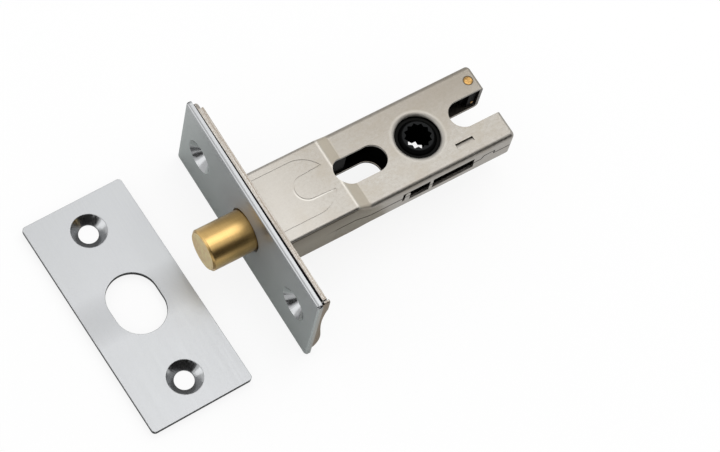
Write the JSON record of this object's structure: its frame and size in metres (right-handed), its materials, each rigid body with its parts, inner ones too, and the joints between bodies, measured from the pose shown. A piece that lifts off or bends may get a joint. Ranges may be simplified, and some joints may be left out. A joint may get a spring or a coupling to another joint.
{
  "type": "privacy bolt",
  "caption": "Tubular privacy bolt for a door: round brass bolt, sheet-metal case, twelve-point spindle hub, countersunk faceplate and a loose strike plate.",
  "frame": {"origin": "centre of the faceplate's front face, on the bolt's axis", "axes": "+X along the bolt into the door; +Y along the faceplate's length; +Z out of the wide face of the case"},
  "size_m": [0.1092, 0.0592, 0.027],
  "materials": {
    "satin_chrome": "satin chrome plate, finely brushed along the length",
    "satin_nickel": "satin nickel plate on pressed steel",
    "satin_brass": "satin, turned",
    "black_moulding": "matt",
    "black_zinc": "gloss black coating on cast zinc",
    "pin_steel": "bright"
  },
  "bodies": {
    "case": {"faceplate": "satin_chrome", "forend": "satin_nickel", "case_top": "satin_nickel", "case_bottom": "satin_nickel", "rear_spacer": "black_moulding", "spacer_pin": "satin_brass", "rear_rivet": "satin_brass", "strike_plate": "satin_chrome", "hub_bush_top": "black_moulding", "hub_bush_bottom": "black_moulding"},
    "bolt": {"bolt": "satin_brass", "bolt_carriage": "black_zinc", "carriage_pin": "pin_steel", "drag_spring": "pin_steel"},
    "hub": {"spindle_hub": "black_zinc", "follower": "black_zinc", "crank_pin": "pin_steel"}
  },
  "joints": [
    {"name": "bolt_slide", "type": "slide", "parent": "case", "child": "bolt", "axis": [1, 0, 0], "range_m": [0, 0.0115]},
    {"name": "hub_turn", "type": "hinge", "parent": "case", "child": "hub", "pos_m": [0.0464, 0, 0], "axis": [0, 0, 1], "range_deg": [-0.5, 90.5]}
  ],
  "couplings": [
    {"joint": "hub_turn", "follows": "bolt_slide", "rad_per_m": 136.59}
  ]
}
